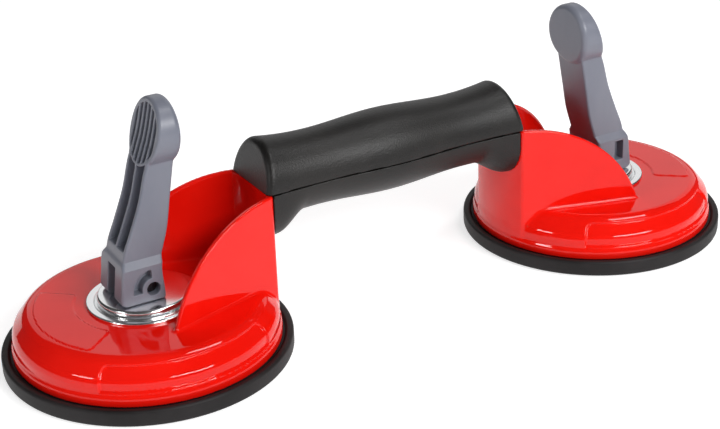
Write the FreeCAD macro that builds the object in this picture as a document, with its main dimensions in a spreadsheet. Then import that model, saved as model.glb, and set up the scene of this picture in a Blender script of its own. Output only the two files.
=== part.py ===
import FreeCAD, Part
import math
import os
import Sketcher

# Twin-cup vacuum lifter: two rubber suction discs under painted metal shells, joined by a
# two-piece handle, each worked by a fold-down cam lever.
# Frame: origin on the floor half way between the cups, X from cup to cup, Z up, millimetres.
# Each cup is drawn about its own axis with +X towards the handle; the left cup stands at -X as
# drawn, the right cup is the same cup turned half a turn about Z.

SIZES = [
    ("cup_span", 227.0, "distance between the two cup axes"),
    ("disc_radius", 60.0, "outer radius of the rubber disc"),
    ("disc_rim", 7.2, "height of the rubber rim"),
    ("seat_height", 6.0, "height at which the shell stands in the rubber"),
    ("shell_radius", 55.0, "outer radius of the shell's upright side and end wall"),
    ("shell_gauge", 2.4, "wall of the domed shell"),
    ("bead_radius", 55.5, "outer radius of the rolled bead at the shell's foot"),
    ("bead_height", 10.6, "top of the rolled bead"),
    ("deck_height", 23.8, "height of the shell's flat top"),
    ("deck_radius", 46.4, "radius of the flat top"),
    ("shoulder_radius", 50.2, "radius where the top roll meets the sloped shoulder"),
    ("shoulder_height", 22.0, "height where the top roll meets the sloped shoulder"),
    ("brow_radius", 53.9, "radius at the foot of the sloped shoulder"),
    ("brow_height", 17.4, "height at the foot of the sloped shoulder"),
    ("stem_port", 7.0, "radius of the shell's centre hole"),
    ("flute_depth", 0.9, "depth of the flutes in the shell's two sides"),
    ("flute_start", 47.0, "angle from the outward direction at which a flute starts"),
    ("flute_sweep", 83.0, "angle that a flute covers"),
    ("panel_sweep", 80.0, "angle that the plain raised panel covers"),
    ("panel_inner", 28.5, "inner radius of the raised panel"),
    ("panel_rise", 0.5, "height of the raised panel"),
    ("wall_top", 62.6, "top of the end wall, and the handle's parting plane"),
    ("wall_gauge", 2.5, "thickness of the end wall and wings"),
    ("wing_slope", 0.3, "how far each wing opens per millimetre away from the end wall"),
    ("wing_foot", 33.45, "half distance between the wings' outer faces at the cup axis"),
    ("wing_arc", 54.0, "radius of the wings' curved top edge"),
    ("wing_crest", 51.0, "distance from the cup axis where that curve starts to fall"),
    ("tongue_width", 22.0, "width of the shell's tongue inside the handle"),
    ("tongue_reach", 79.0, "distance from the cup axis to the tongue's end"),
    ("tongue_gauge", 4.0, "thickness of the tongue"),
    ("bar_length", 112.0, "length of the steel bar in the handle"),
    ("bar_gauge", 3.6, "thickness of the steel bar"),
    ("plate_radius", 24.0, "radius of the wear plate's flange"),
    ("plate_disc", 19.3, "radius of the wear plate's raised disc"),
    ("plate_top", 27.8, "top of the wear plate"),
    ("plate_gauge", 1.5, "thickness of the wear plate"),
    ("plate_bore", 5.1, "radius of the wear plate's guide hole"),
    ("core_radius", 30.0, "radius of the steel core in the rubber"),
    ("core_gauge", 2.0, "thickness of the steel core"),
    ("core_seat", 4.4, "height of the core's underside"),
    ("stem_radius", 5.0, "radius of the draw stem"),
    ("stem_flat", 7.0, "thickness of the stem between its flats"),
    ("stem_flat_foot", 18.6, "height at which the flats start"),
    ("pin_height", 33.3, "height of the lever's pivot with the lever upright"),
    ("pin_radius", 2.5, "radius of the pivot pin"),
    ("pin_length", 17.0, "length of the pivot pin"),
    ("foot_drop", 5.3, "pivot to the foot face that rests on the plate when released"),
    ("foot_reach", 13.7, "pivot to the foot face that rests on the plate when locked"),
    ("lock_angle", 98.0, "lever travel from released to locked, degrees"),
    ("foot_width", 23.4, "width of the lever's foot"),
    ("fork_width", 7.4, "width of the slot in the lever's foot"),
    ("fork_height", 42.7, "height of the top of that slot"),
    ("arm_width", 18.8, "width of the lever's arm"),
    ("shoulder_low", 44.2, "height at which the lever's foot starts to narrow"),
    ("shoulder_top", 48.8, "height at which the lever's arm starts"),
    ("neck_height", 82.6, "height at which the lever's arm meets the thumb pad"),
    ("pad_half", 13.8, "half width of the lever's thumb pad"),
    ("pad_centre", 95.4, "height of the middle of the thumb pad"),
    ("foot_inner", 5.0, "pivot to the face of the lever's foot nearest the handle"),
    ("arm_foot_outer", 9.2, "pivot out to the arm's outer face at the arm's foot"),
    ("arm_foot_inner", 6.4, "pivot in to the arm's inner face at the arm's foot"),
    ("arm_middle", 62.8, "height of the middle of the lever's arm"),
    ("arm_mid_outer", 3.4, "pivot out to the arm's outer face at that middle"),
    ("arm_mid_inner", 10.0, "pivot in to the arm's inner face at that middle"),
    ("neck_outer", 2.0, "pivot in to the outer face at the neck"),
    ("neck_inner", 13.2, "pivot in to the arm's inner face just under the pad"),
    ("neck_ledge", 1.2, "height of the ledge where the pad stands proud of the arm"),
    ("pad_foot_inner", 14.6, "pivot in to the pad's inner face at the neck"),
    ("pad_mid_outer", 5.6, "pivot in to the pad's outer face at its middle"),
    ("pad_mid_inner", 17.0, "pivot in to the pad's inner face at its middle"),
    ("pad_top_outer", 9.6, "pivot in to the pad's outer edge near its top"),
    ("pad_top_inner", 15.9, "pivot in to the pad's inner edge near its top"),
    ("pad_crown", 12.6, "pivot in to the highest place of the pad"),
    ("pad_round", 2.8, "how far those edges lie below the pad's top"),
    ("pad_flank", 18.0, "radius of the curve from the arm's side to the pad's"),
    ("rib_gauge", 1.3, "thickness of the lever's ribs"),
    ("channel_wall", 1.8, "wall beside the arm's channels"),
    ("channel_foot", 3.2, "pivot out to the channels' floor at the arm's foot"),
    ("channel_head", 7.0, "pivot in to the channels' floor at the neck"),
    ("channel_curve", 90.0, "radius of the channels' floor"),
    ("slot_rim", 2.4, "rim round the slots in the thumb pad"),
    ("slot_floor", 9.4, "pivot in to the slots' floor at the pad's middle"),
    ("slot_lean", 0.31, "how far that floor leans in per millimetre of height"),
    ("cheek_depth", 2.1, "depth of the pockets in the lever's cheeks"),
    ("quarter_outer", 9.4, "outer radius of the quarter-ring pocket"),
    ("quarter_inner", 4.9, "inner radius of the quarter-ring pocket"),
    ("square_outer", 9.2, "pivot out to the square pocket's far edge"),
    ("square_width", 4.6, "width of the square pocket"),
    ("square_height", 9.4, "height of the square pocket"),
    ("slot_pitch", 3.7, "spacing of the ribs in the thumb pad"),
    ("grip_axis", 63.5, "height of the handle's centre line"),
    ("grip_middle", 17.9, "handle radius at the middle"),
    ("grip_waist", 16.2, "handle radius at the two waists"),
    ("grip_end", 17.9, "handle radius at the ends"),
    ("waist_place", 35.0, "distance of each waist from the middle"),
    ("grip_half", 64.5, "half length of the handle"),
    ("grip_wall", 3.4, "wall of the handle's upper half"),
    ("flare_depth", 5.6, "how far the lower half swells down at the end walls"),
    ("flare_start", 43.0, "distance from the middle where that swelling starts"),
    ("flare_reach", 14.0, "length over which the handle's lower half swells"),
    ("grip_lean", 11.5, "lean of the handle's end faces, degrees"),
    ("grip_foot", 63.3, "distance of each end face from the middle at the parting plane"),
    ("screw_radius", 2.5, "radius of the handle screws"),
    ("spring_inner", 17.0, "inner radius of the return spring's discs"),
    ("spring_outer", 24.0, "outer radius of the return spring's discs"),
    ("spring_edge", 2.2, "width of the edge where two discs of the return spring meet"),
    ("grip_hollow", 54.5, "half length of the hollow in the handle's upper half"),
]

TINY = 0.02        # clearance of fixed cylindrical fits
SLIDE = 0.06       # clearance of running fits
BOSS_RISE = 1.6    # height of the rubber's boss over its steel core
SPRING_DISCS = 6   # discs in each return spring
SPRING_GAP = 0.1   # clearance at each end of a return spring
PAD_SLOTS = 6      # slots in each thumb pad
CAM_STEPS = 6      # spans of the curve on the lever's foot
BELOW = "20"       # height under the lever's foot, where its cuts start
ABOVE = "120"      # height over the lever's pad, where its cuts end
BESIDE = "30"      # distance beside the lever, where its cuts start
ALONG_Y = FreeCAD.Rotation(FreeCAD.Vector(1, 0, 0), -90)
SCREW_PLACES = (-41.0, -14.0, 14.0, 41.0)   # handle screws, distance from the middle
RIVET_PLACE = 49.0                          # bar rivets, distance from the middle
RIVET_ROW = (-6.0, 6.0)                     # bar rivets, distance from the centre line
RIVET_RADIUS = 2.4

doc = FreeCAD.newDocument("twin_cup_lifter")
sheet = doc.addObject("Spreadsheet::Sheet", "sizes")
for row, (alias, amount, note) in enumerate(SIZES, start=1):
    sheet.set(f"A{row}", note)
    sheet.set(f"B{row}", str(amount))
    sheet.setAlias(f"B{row}", alias)
doc.recompute()

nodes = {}


def size(name):
    """The number that the sheet holds under this alias."""
    return float(getattr(sheet, name))


def number(text):
    """The value of an expression over the sheet."""
    return float(sheet.evalExpression(text))


def centre_of(start, end, radius, turn):
    """Centre of the shorter arc from start to end; turn is 1 for left-hand, -1 for right-hand."""
    middle = (start + end) * 0.5
    chord = end - start
    rise = math.sqrt(max(radius ** 2 - (chord.Length / 2) ** 2, 0.0))
    side = FreeCAD.Vector(-chord.y, chord.x, 0).normalize()
    return middle + side * (rise * turn)


def arc_between(start, end, radius, turn):
    """Arc from start to end in the sketch plane."""
    centre = centre_of(start, end, radius, turn)
    to_start = start - centre
    to_end = end - centre
    first = math.atan2(to_start.y, to_start.x)
    last = math.atan2(to_end.y, to_end.x)
    circle = Part.Circle(centre, FreeCAD.Vector(0, 0, 1), radius)
    if turn > 0:
        return Part.ArcOfCircle(circle, first, last), 1, 2
    return Part.ArcOfCircle(circle, last, first), 2, 1


def pin_down(sketch, curve, point, place):
    """Hold one end of a curve at a place given by two expressions."""
    for kind, axis, text in (("DistanceX", -2, place[0]), ("DistanceY", -1, place[1])):
        if text == "0":
            sketch.addConstraint(Sketcher.Constraint("PointOnObject", curve, point, axis))
            continue
        held = sketch.addConstraint(
            Sketcher.Constraint(kind, -1, 1, curve, point, number(text)))
        sketch.setExpression(f"Constraints[{held}]", text)


def outline(sketch, steps):
    """Closed outline. A step (x, y) is a line to that place and a step (x, y, radius, turn) an
    arc to it; every entry but turn is an expression over the sheet."""
    places = [FreeCAD.Vector(number(step[0]), number(step[1]), 0) for step in steps]
    ends = []
    for index, step in enumerate(steps):
        start = places[index - 1]
        end = places[index]
        if len(step) == 2:
            curve = sketch.addGeometry(Part.LineSegment(start, end))
            first, last = 1, 2
        else:
            arc, first, last = arc_between(start, end, number(step[2]), step[3])
            curve = sketch.addGeometry(arc)
            bend = sketch.addConstraint(Sketcher.Constraint("Radius", curve, number(step[2])))
            sketch.setExpression(f"Constraints[{bend}]", step[2])
        ends.append((curve, first, last))
    for index, (curve, first, last) in enumerate(ends):
        before = ends[index - 1]
        sketch.addConstraint(Sketcher.Constraint("Coincident", before[0], before[2], curve, first))
        pin_down(sketch, curve, last, steps[index])


def ring(sketch, x, y, radius):
    """Circle whose centre and radius are expressions over the sheet."""
    centre = FreeCAD.Vector(number(x), number(y), 0)
    curve = sketch.addGeometry(Part.Circle(centre, FreeCAD.Vector(0, 0, 1), number(radius)))
    bend = sketch.addConstraint(Sketcher.Constraint("Radius", curve, number(radius)))
    sketch.setExpression(f"Constraints[{bend}]", radius)
    pin_down(sketch, curve, 3, (x, y))


def body(name, side=0):
    """Empty body; side -1 or 1 stands it on the left or right cup's axis."""
    made = doc.addObject("PartDesign::Body", name)
    made.Label = name
    if side:
        made.setExpression("Placement.Base.x", f"{side} * sizes.cup_span / 2")
    if side > 0:
        made.Placement.Rotation = FreeCAD.Rotation(FreeCAD.Vector(0, 0, 1), 180)
    nodes[name] = made
    return made


def sketch_on(owner, name, plane, offset=None):
    """Sketch on one of the body's own origin planes."""
    made = owner.newObject("Sketcher::SketchObject", name)
    base = [item for item in owner.Origin.OriginFeatures if item.Role == plane][0]
    made.AttachmentSupport = [(base, "")]
    made.MapMode = "FlatFace"
    if offset:
        made.AttachmentOffset = offset
    return made


def revolve(owner, name, steps):
    """Solid of revolution about the cup axis from an outline of radius and height."""
    profile = sketch_on(owner, name + "_profile", "XZ_Plane")
    outline(profile, steps)
    made = owner.newObject("PartDesign::Revolution", name)
    made.Profile = profile
    made.ReferenceAxis = (profile, ["V_Axis"])
    made.Angle = 360
    owner.Tip = made
    return made


def groove(owner, name, steps):
    """Cut of revolution about the cup axis; stops if it removes nothing."""
    doc.recompute()
    before = owner.Shape.Volume
    profile = sketch_on(owner, name + "_profile", "XZ_Plane")
    outline(profile, steps)
    made = owner.newObject("PartDesign::Groove", name)
    made.Profile = profile
    made.ReferenceAxis = (profile, ["V_Axis"])
    made.Angle = 360
    owner.Tip = made
    doc.recompute()
    must_differ(name, before, owner.Shape.Volume)
    return made


def must_differ(name, before, after):
    """Stop if a cut took nothing away."""
    if after > before - 0.5:
        raise RuntimeError(f"{name} removes nothing")


def pad(owner, name, profile, length, midplane=False):
    """Pad whose length is an expression over the sheet."""
    made = owner.newObject("PartDesign::Pad", name)
    made.Profile = profile
    made.setExpression("Length", length)
    made.Midplane = midplane
    owner.Tip = made
    return made


def pocket(owner, name, profile, length, midplane=True, flipped=False):
    """Pocket whose depth is an expression over the sheet; stops if it removes nothing."""
    doc.recompute()
    before = owner.Shape.Volume
    made = owner.newObject("PartDesign::Pocket", name)
    made.Profile = profile
    made.setExpression("Length", length)
    made.Midplane = midplane
    made.Reversed = flipped
    owner.Tip = made
    doc.recompute()
    must_differ(name, before, owner.Shape.Volume)
    return made


def lifted(height):
    """Attachment offset along the plane's normal."""
    return FreeCAD.Placement(FreeCAD.Vector(0, 0, height), FreeCAD.Rotation())


def wing_line(gap):
    """Half width of a wing's face at distance 0 from the cup axis, for a face set back by gap."""
    return f"(sizes.wing_foot - {gap} * sqrt(1 + sizes.wing_slope ^ 2))"


def wing_meets_wall(gap):
    """Distance from the cup axis at which a wing's face meets the end wall's face."""
    foot = wing_line(gap)
    radius = f"(sizes.shell_radius - {gap})"
    square = f"({radius} ^ 2 * (1 + sizes.wing_slope ^ 2) - {foot} ^ 2)"
    return f"((sizes.wing_slope * {foot} + sqrt({square})) / (1 + sizes.wing_slope ^ 2))"


def bucket_plan(reach, gap):
    """Outline of the bucket in plan: two opening wings closed by the round end wall."""
    foot = wing_line(gap)
    meet = wing_meets_wall(gap)
    half_reach = f"({foot} - sizes.wing_slope * {reach})"
    half_meet = f"({foot} - sizes.wing_slope * {meet})"
    return [
        (reach, f"-{half_reach}"),
        (meet, f"-{half_meet}"),
        (meet, half_meet, f"sizes.shell_radius - {gap}", 1),
        (reach, half_reach),
    ]


def flute(shell, name, start):
    """Shallow annular recess round one side of the shoulder, from the brow down to the bead."""
    middle = number(start) + size("flute_sweep") / 2 + 180
    profile = sketch_on(shell, name + "_profile", "XZ_Plane", FreeCAD.Placement(
        FreeCAD.Vector(), FreeCAD.Rotation(FreeCAD.Vector(0, 1, 0), middle)))
    foot = "sizes.bead_height + 1.2"
    inner = "sizes.shell_radius - sizes.flute_depth"
    outline(profile, [
        ("sizes.shell_radius + 3", foot),
        ("sizes.shell_radius + 3", "sizes.deck_height + 2"),
        ("sizes.shoulder_radius - 1.4", "sizes.deck_height + 2"),
        ("sizes.shoulder_radius - 1.4", "sizes.shoulder_height - 0.1"),
        ("sizes.brow_radius - sizes.flute_depth - 0.5", "sizes.brow_height - 0.5"),
        (inner, "sizes.brow_height - 2.4", "3", -1),
        (inner, foot),
    ])
    doc.recompute()
    before = shell.Shape.Volume
    made = shell.newObject("PartDesign::Groove", name)
    made.Profile = profile
    made.ReferenceAxis = (profile, ["V_Axis"])
    made.setExpression("Angle", "sizes.flute_sweep")
    made.Midplane = True
    shell.Tip = made
    doc.recompute()
    must_differ(name, before, shell.Shape.Volume)


def raised_panel(shell, name):
    """Plain raised sector on the flat top, on the side away from the handle."""
    half = math.radians(size("panel_sweep") / 2)
    plan = sketch_on(shell, name + "_plan", "XY_Plane", lifted(size("deck_height") - 0.5))
    outer = "(sizes.deck_radius - 0.6)"
    across = math.sin(half)
    along = math.cos(half)
    outline(plan, [
        (f"-{outer} * {along:.6f}", f"{outer} * {across:.6f}"),
        (f"-{outer} * {along:.6f}", f"-{outer} * {across:.6f}", outer, 1),
        (f"-sizes.panel_inner * {along:.6f}", f"-sizes.panel_inner * {across:.6f}"),
        (f"-sizes.panel_inner * {along:.6f}", f"sizes.panel_inner * {across:.6f}",
         "sizes.panel_inner", -1),
    ])
    pad(shell, name, plan, "sizes.panel_rise + 0.5")


def make_shell(name, side):
    shell = body(name, side)
    revolve(shell, name + "_dome", [
        ("0", "sizes.seat_height"),
        ("sizes.bead_radius - 0.6", "sizes.seat_height"),
        ("sizes.bead_radius", "sizes.seat_height + 0.6", "0.6", 1),
        ("sizes.bead_radius", "sizes.bead_height - 0.9"),
        ("sizes.shell_radius", "sizes.bead_height", "0.95", 1),
        ("sizes.shell_radius", "sizes.brow_height - 2"),
        ("sizes.brow_radius", "sizes.brow_height", "3", 1),
        ("sizes.shoulder_radius", "sizes.shoulder_height"),
        ("sizes.deck_radius", "sizes.deck_height", "6", 1),
        ("0", "sizes.deck_height"),
    ])
    floor_plan = sketch_on(shell, name + "_floor_plan", "XY_Plane", lifted(size("bead_height") + 1))
    outline(floor_plan, bucket_plan("-0.8", "0"))
    pad(shell, name + "_floor", floor_plan, "sizes.deck_height - sizes.bead_height - 1")
    wall_plan = sketch_on(shell, name + "_wall_plan", "XY_Plane", lifted(size("deck_height") - 1))
    outline(wall_plan, bucket_plan("-3", "0"))
    pad(shell, name + "_wall", wall_plan, "sizes.wall_top - sizes.deck_height + 1")
    inside = sketch_on(shell, name + "_inside_plan", "XY_Plane", lifted(size("deck_height")))
    outline(inside, bucket_plan("-20", "sizes.wall_gauge"))
    pocket(shell, name + "_inside", inside, "60", midplane=False, flipped=True)
    brow = sketch_on(shell, name + "_brow", "XZ_Plane")
    depth = "(sizes.wall_top - sizes.wing_arc - sizes.deck_height)"
    front = f"(sizes.wing_crest - sqrt(sizes.wing_arc ^ 2 - {depth} ^ 2))"
    outline(brow, [
        ("-12", "sizes.deck_height"),
        (front, "sizes.deck_height"),
        ("sizes.wing_crest", "sizes.wall_top", "sizes.wing_arc", -1),
        ("sizes.wing_crest", "sizes.wall_top + 8"),
        ("-12", "sizes.wall_top + 8"),
    ])
    pocket(shell, name + "_wing_curve", brow, "90")
    groove(shell, name + "_hollow", [
        ("0", "sizes.seat_height - 1"),
        ("sizes.shell_radius - sizes.shell_gauge", "sizes.seat_height - 1"),
        ("sizes.shell_radius - sizes.shell_gauge", "sizes.brow_height - 3.2"),
        ("sizes.deck_radius - 1", "sizes.deck_height - sizes.shell_gauge", "9.5", 1),
        ("0", "sizes.deck_height - sizes.shell_gauge"),
    ])
    for word, first in (("near", "sizes.flute_start"), ("far", "-sizes.flute_start - sizes.flute_sweep")):
        flute(shell, f"{name}_flute_{word}", first)
    raised_panel(shell, name + "_panel")
    tongue = sketch_on(shell, name + "_tongue_plan", "XY_Plane",
                       lifted(size("wall_top") - size("bar_gauge") - size("tongue_gauge")))
    outline(tongue, [
        ("sizes.shell_radius - 2", "-sizes.tongue_width / 2"),
        ("sizes.tongue_reach", "-sizes.tongue_width / 2"),
        ("sizes.tongue_reach", "sizes.tongue_width / 2"),
        ("sizes.shell_radius - 2", "sizes.tongue_width / 2"),
    ])
    pad(shell, name + "_tongue", tongue, "sizes.tongue_gauge")
    port = sketch_on(shell, name + "_port_plan", "XY_Plane")
    ring(port, "0", "0", "sizes.stem_port")
    pocket(shell, name + "_port", port, "120")
    holes = sketch_on(shell, name + "_tongue_holes_plan", "XY_Plane",
                      lifted(size("wall_top") - size("bar_gauge")))
    ring(holes, f"sizes.cup_span / 2 - {SCREW_PLACES[-1]}", "0", f"sizes.screw_radius + {TINY}")
    for across in RIVET_ROW:
        ring(holes, f"sizes.cup_span / 2 - {RIVET_PLACE}", str(across), f"{RIVET_RADIUS} + {TINY}")
    pocket(shell, name + "_tongue_holes", holes, "sizes.tongue_gauge + 2", midplane=False)
    return shell


# ------------------------------------------------------------------------------- rubber and steel
def make_disc(name, side):
    disc = body(name, side)
    revolve(disc, name + "_form", [
        ("0", "1.0"),
        ("sizes.disc_radius - 12", "0.5"),
        ("sizes.disc_radius - 8", "0"),
        ("sizes.disc_radius - 0.8", "0"),
        ("sizes.disc_radius", "0.8", "0.8", 1),
        ("sizes.disc_radius", "sizes.disc_rim - 0.9"),
        ("sizes.disc_radius - 0.9", "sizes.disc_rim", "0.9", 1),
        ("sizes.bead_radius + 1.2", "sizes.disc_rim"),
        ("sizes.bead_radius + 0.6", "sizes.seat_height"),
        ("sizes.shell_radius - sizes.shell_gauge - 1", "sizes.seat_height"),
        ("sizes.shell_radius - sizes.shell_gauge - 3", "sizes.core_seat + 0.4"),
        ("sizes.core_radius + 7", "sizes.core_seat + 0.4"),
        ("sizes.core_radius + 4", f"sizes.core_seat + sizes.core_gauge + {BOSS_RISE}"),
        ("sizes.stem_radius + 0.4", f"sizes.core_seat + sizes.core_gauge + {BOSS_RISE}"),
        ("sizes.stem_radius + 0.4", "sizes.core_seat + sizes.core_gauge + 0.2"),
        ("sizes.core_radius + 0.3", "sizes.core_seat + sizes.core_gauge + 0.2"),
        ("sizes.core_radius + 0.3", "sizes.core_seat - 0.2"),
        ("0", "sizes.core_seat - 0.2"),
    ])
    return disc


def make_wear_plate(name, side):
    plate = body(name, side)
    revolve(plate, name + "_pressing", [
        ("sizes.plate_bore", "sizes.plate_top - sizes.plate_gauge"),
        ("sizes.plate_disc - sizes.plate_gauge", "sizes.plate_top - sizes.plate_gauge"),
        ("sizes.plate_disc - sizes.plate_gauge", "sizes.deck_height"),
        ("sizes.plate_radius - 0.2", "sizes.deck_height"),
        ("sizes.plate_radius - 0.8", "sizes.deck_height + 1.1", "0.8", 1),
        ("sizes.plate_radius - 2.4", "sizes.deck_height + 1.1", "2.2", 1),
        ("sizes.plate_disc", "sizes.deck_height + 0.9", "1.6", -1),
        ("sizes.plate_disc", "sizes.plate_top - 1.6"),
        ("sizes.plate_disc - 1.6", "sizes.plate_top", "1.6", 1),
        ("sizes.plate_bore", "sizes.plate_top"),
    ])
    return plate


def make_core_plate(name, side):
    plate = body(name, side)
    revolve(plate, name + "_blank", [
        ("0", "sizes.core_seat"),
        ("sizes.core_radius", "sizes.core_seat"),
        ("sizes.core_radius", "sizes.core_seat + sizes.core_gauge"),
        ("0", "sizes.core_seat + sizes.core_gauge"),
    ])
    return plate


def make_stem(name, side):
    stem = body(name, side)
    round_plan = sketch_on(stem, name + "_plan", "XY_Plane",
                           lifted(size("core_seat") + size("core_gauge")))
    ring(round_plan, "0", "0", "sizes.stem_radius")
    rod_length = "sizes.pin_height + sizes.stem_radius - sizes.core_seat - sizes.core_gauge"
    pad(stem, name + "_rod", round_plan, rod_length)
    top = sketch_on(stem, name + "_top", "XZ_Plane")
    outline(top, [
        ("-sizes.stem_radius - 2", "sizes.pin_height"),
        ("-sizes.stem_radius", "sizes.pin_height"),
        ("0", "sizes.pin_height + sizes.stem_radius", "sizes.stem_radius", -1),
        ("sizes.stem_radius", "sizes.pin_height", "sizes.stem_radius", -1),
        ("sizes.stem_radius + 2", "sizes.pin_height"),
        ("sizes.stem_radius + 2", "sizes.pin_height + sizes.stem_radius + 2"),
        ("-sizes.stem_radius - 2", "sizes.pin_height + sizes.stem_radius + 2"),
    ])
    pocket(stem, name + "_eye", top, "20")
    flats = sketch_on(stem, name + "_flats", "YZ_Plane")
    for hand in ("-", ""):
        outline(flats, [
            (f"{hand}(sizes.stem_flat / 2)", "sizes.stem_flat_foot"),
            (f"{hand}(sizes.stem_radius + 2)", "sizes.stem_flat_foot"),
            (f"{hand}(sizes.stem_radius + 2)", "sizes.pin_height + sizes.stem_radius + 2"),
            (f"{hand}(sizes.stem_flat / 2)", "sizes.pin_height + sizes.stem_radius + 2"),
        ])
    pocket(stem, name + "_flat_sides", flats, "20")
    bore = sketch_on(stem, name + "_bore", "XZ_Plane")
    ring(bore, "0", "sizes.pin_height", f"sizes.pin_radius + {SLIDE}")
    pocket(stem, name + "_pin_hole", bore, "20")
    return stem


def make_pin(name, side):
    pin = doc.addObject("Part::Cylinder", name)
    pin.Label = name
    pin.setExpression("Radius", "sizes.pin_radius")
    pin.setExpression("Height", "sizes.pin_length")
    pin.Placement = FreeCAD.Placement(
        FreeCAD.Vector(side * size("cup_span") / 2, -size("pin_length") / 2, size("pin_height")),
        ALONG_Y)
    nodes[name] = pin
    return pin


def make_spring(name, side):
    """Stack of disc springs between the rubber's boss and the underside of the shell's flat top."""
    low = f"(sizes.core_seat + sizes.core_gauge + {BOSS_RISE} + {SPRING_GAP})"
    high = f"(sizes.deck_height - sizes.shell_gauge - {SPRING_GAP})"
    outside = []
    inside = []
    for fold in range(SPRING_DISCS + 1):
        height = f"{low} + ({high} - {low}) * {fold} / {SPRING_DISCS}"
        if fold % 2:
            outside.append(("sizes.spring_outer", height))
            inside.append(("sizes.spring_outer - sizes.spring_edge", height))
        else:
            outside.append(("sizes.spring_inner + sizes.spring_edge", height))
            inside.append(("sizes.spring_inner", height))
    spring = body(name, side)
    revolve(spring, name + "_discs", outside + inside[::-1])
    return spring


# ------------------------------------------------------------------------------------- cam lever
def cam_point(angle):
    """Place of the relieved foot's surface that faces the plate after the lever turns by angle.
    The pivot rises evenly with the turn, so the surface is the curve that this line family
    leaves: outward distance and height from the pivot."""
    lift = (size("foot_reach") - size("foot_drop")) / math.radians(size("lock_angle"))
    reach = size("foot_drop") + lift * angle
    outward = reach * math.sin(angle) + lift * math.cos(angle)
    height = -reach * math.cos(angle) + lift * math.sin(angle)
    return outward, height


def lever_side(sketch):
    """Side outline of the lever: relieved foot, leaning arm and thumb pad."""
    pivot = size("pin_height")
    low = size("shoulder_low")
    high = size("shoulder_top")
    neck = size("neck_height")
    top = size("pad_centre") + size("pad_half")
    cam = []
    for step in range(CAM_STEPS + 1):
        outward, height = cam_point(math.radians(size("lock_angle")) * step / CAM_STEPS)
        cam.append((-outward, pivot + height))
    lean = math.tan(math.radians(size("lock_angle") - 90))
    foot_low = (size("foot_inner"), pivot - size("foot_drop"))
    foot_high = (size("foot_inner"), low)
    outer_top = (cam[-1][0] + lean * (low - cam[-1][1]), low)
    arm_outer = (-size("arm_foot_outer"), high)
    arm_inner = (size("arm_foot_inner"), high)
    neck_outer = (size("neck_outer"), neck)
    neck_inner = (size("neck_inner"), neck - size("neck_ledge"))
    pad_foot = (size("pad_foot_inner"), neck)
    pad_outer = (size("pad_top_outer"), top - size("pad_round"))
    pad_inner = (size("pad_top_inner"), top - size("pad_round"))
    lines = [
        (cam[-1], outer_top),
        (outer_top, arm_outer),
        (pad_foot, neck_inner),
        (arm_inner, foot_high),
        (foot_high, foot_low),
        (foot_low, cam[0]),
    ]
    arcs = [
        (arm_outer, (-size("arm_mid_outer"), size("arm_middle")), neck_outer),
        (neck_outer, (size("pad_mid_outer"), size("pad_centre")), pad_outer),
        (pad_outer, (size("pad_crown"), top), pad_inner),
        (pad_inner, (size("pad_mid_inner"), size("pad_centre")), pad_foot),
        (neck_inner, (size("arm_mid_inner"), size("arm_middle")), arm_inner),
    ]
    relief = Part.BSplineCurve()
    relief.interpolate([FreeCAD.Vector(*place) for place in cam])
    sketch.addGeometry(relief)
    for ends in lines:
        sketch.addGeometry(Part.LineSegment(*[FreeCAD.Vector(*place) for place in ends]))
    for places in arcs:
        sketch.addGeometry(Part.Arc(*[FreeCAD.Vector(*place) for place in places]))


def lever_front(sketch):
    """Everything beside the lever's front outline: wide foot, narrow arm and round pad."""
    foot = "sizes.foot_width / 2"
    arm = "sizes.arm_width / 2"
    half = "sizes.pad_half"
    outline(sketch, [
        (f"-{foot}", BELOW),
        (f"-{foot}", "sizes.shoulder_low"),
        (f"-{arm}", "sizes.shoulder_top"),
        (f"-{arm}", "sizes.neck_height + 1"),
        (f"-{half}", "sizes.pad_centre", "sizes.pad_flank", -1),
        ("0", "sizes.pad_centre + sizes.pad_half", half, -1),
        (half, "sizes.pad_centre", half, -1),
        (arm, "sizes.neck_height + 1", "sizes.pad_flank", -1),
        (arm, "sizes.shoulder_top"),
        (foot, "sizes.shoulder_low"),
        (foot, BELOW),
        (BESIDE, BELOW),
        (BESIDE, ABOVE),
        (f"-{BESIDE}", ABOVE),
        (f"-{BESIDE}", BELOW),
    ])


def arm_channels(lever, name):
    """Two moulded channels down the arm's outer face with a rib between them."""
    width = "(sizes.arm_width / 2 - sizes.channel_wall - sizes.rib_gauge / 2)"
    offset = (size("arm_width") / 2 - size("channel_wall") + size("rib_gauge") / 2) / 2
    for word, hand in (("near", 1), ("far", -1)):
        view = sketch_on(lever, f"{name}_channel_{word}", "XZ_Plane", lifted(hand * offset))
        outline(view, [
            (f"-{BESIDE}", "sizes.shoulder_top - 1.6"),
            ("-sizes.channel_foot", "sizes.shoulder_top - 1.6"),
            ("sizes.channel_head", "sizes.neck_height - 0.2", "sizes.channel_curve", -1),
            (f"-{BESIDE}", "sizes.neck_height + 1.6"),
        ])
        pocket(lever, f"{name}_channel_cut_{word}", view, width)


def pad_slots(lever, name):
    """Slots in the pad's outer face, ended by the oval rim."""
    rim = size("pad_half") - size("slot_rim")
    for index in range(PAD_SLOTS):
        offset = (index - (PAD_SLOTS - 1) / 2) * size("slot_pitch")
        reach = math.sqrt(rim ** 2 - offset ** 2) - 0.6
        view = sketch_on(lever, f"{name}_slot_{index}", "XZ_Plane", lifted(offset))
        outline(view, [
            (f"-{BESIDE}", f"sizes.pad_centre - {reach}"),
            (f"sizes.slot_floor - sizes.slot_lean * {reach}", f"sizes.pad_centre - {reach}"),
            (f"sizes.slot_floor + sizes.slot_lean * {reach}", f"sizes.pad_centre + {reach}"),
            (f"-{BESIDE}", f"sizes.pad_centre + {reach}"),
        ])
        pocket(lever, f"{name}_slot_cut_{index}", view, "sizes.slot_pitch - sizes.rib_gauge")


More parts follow.
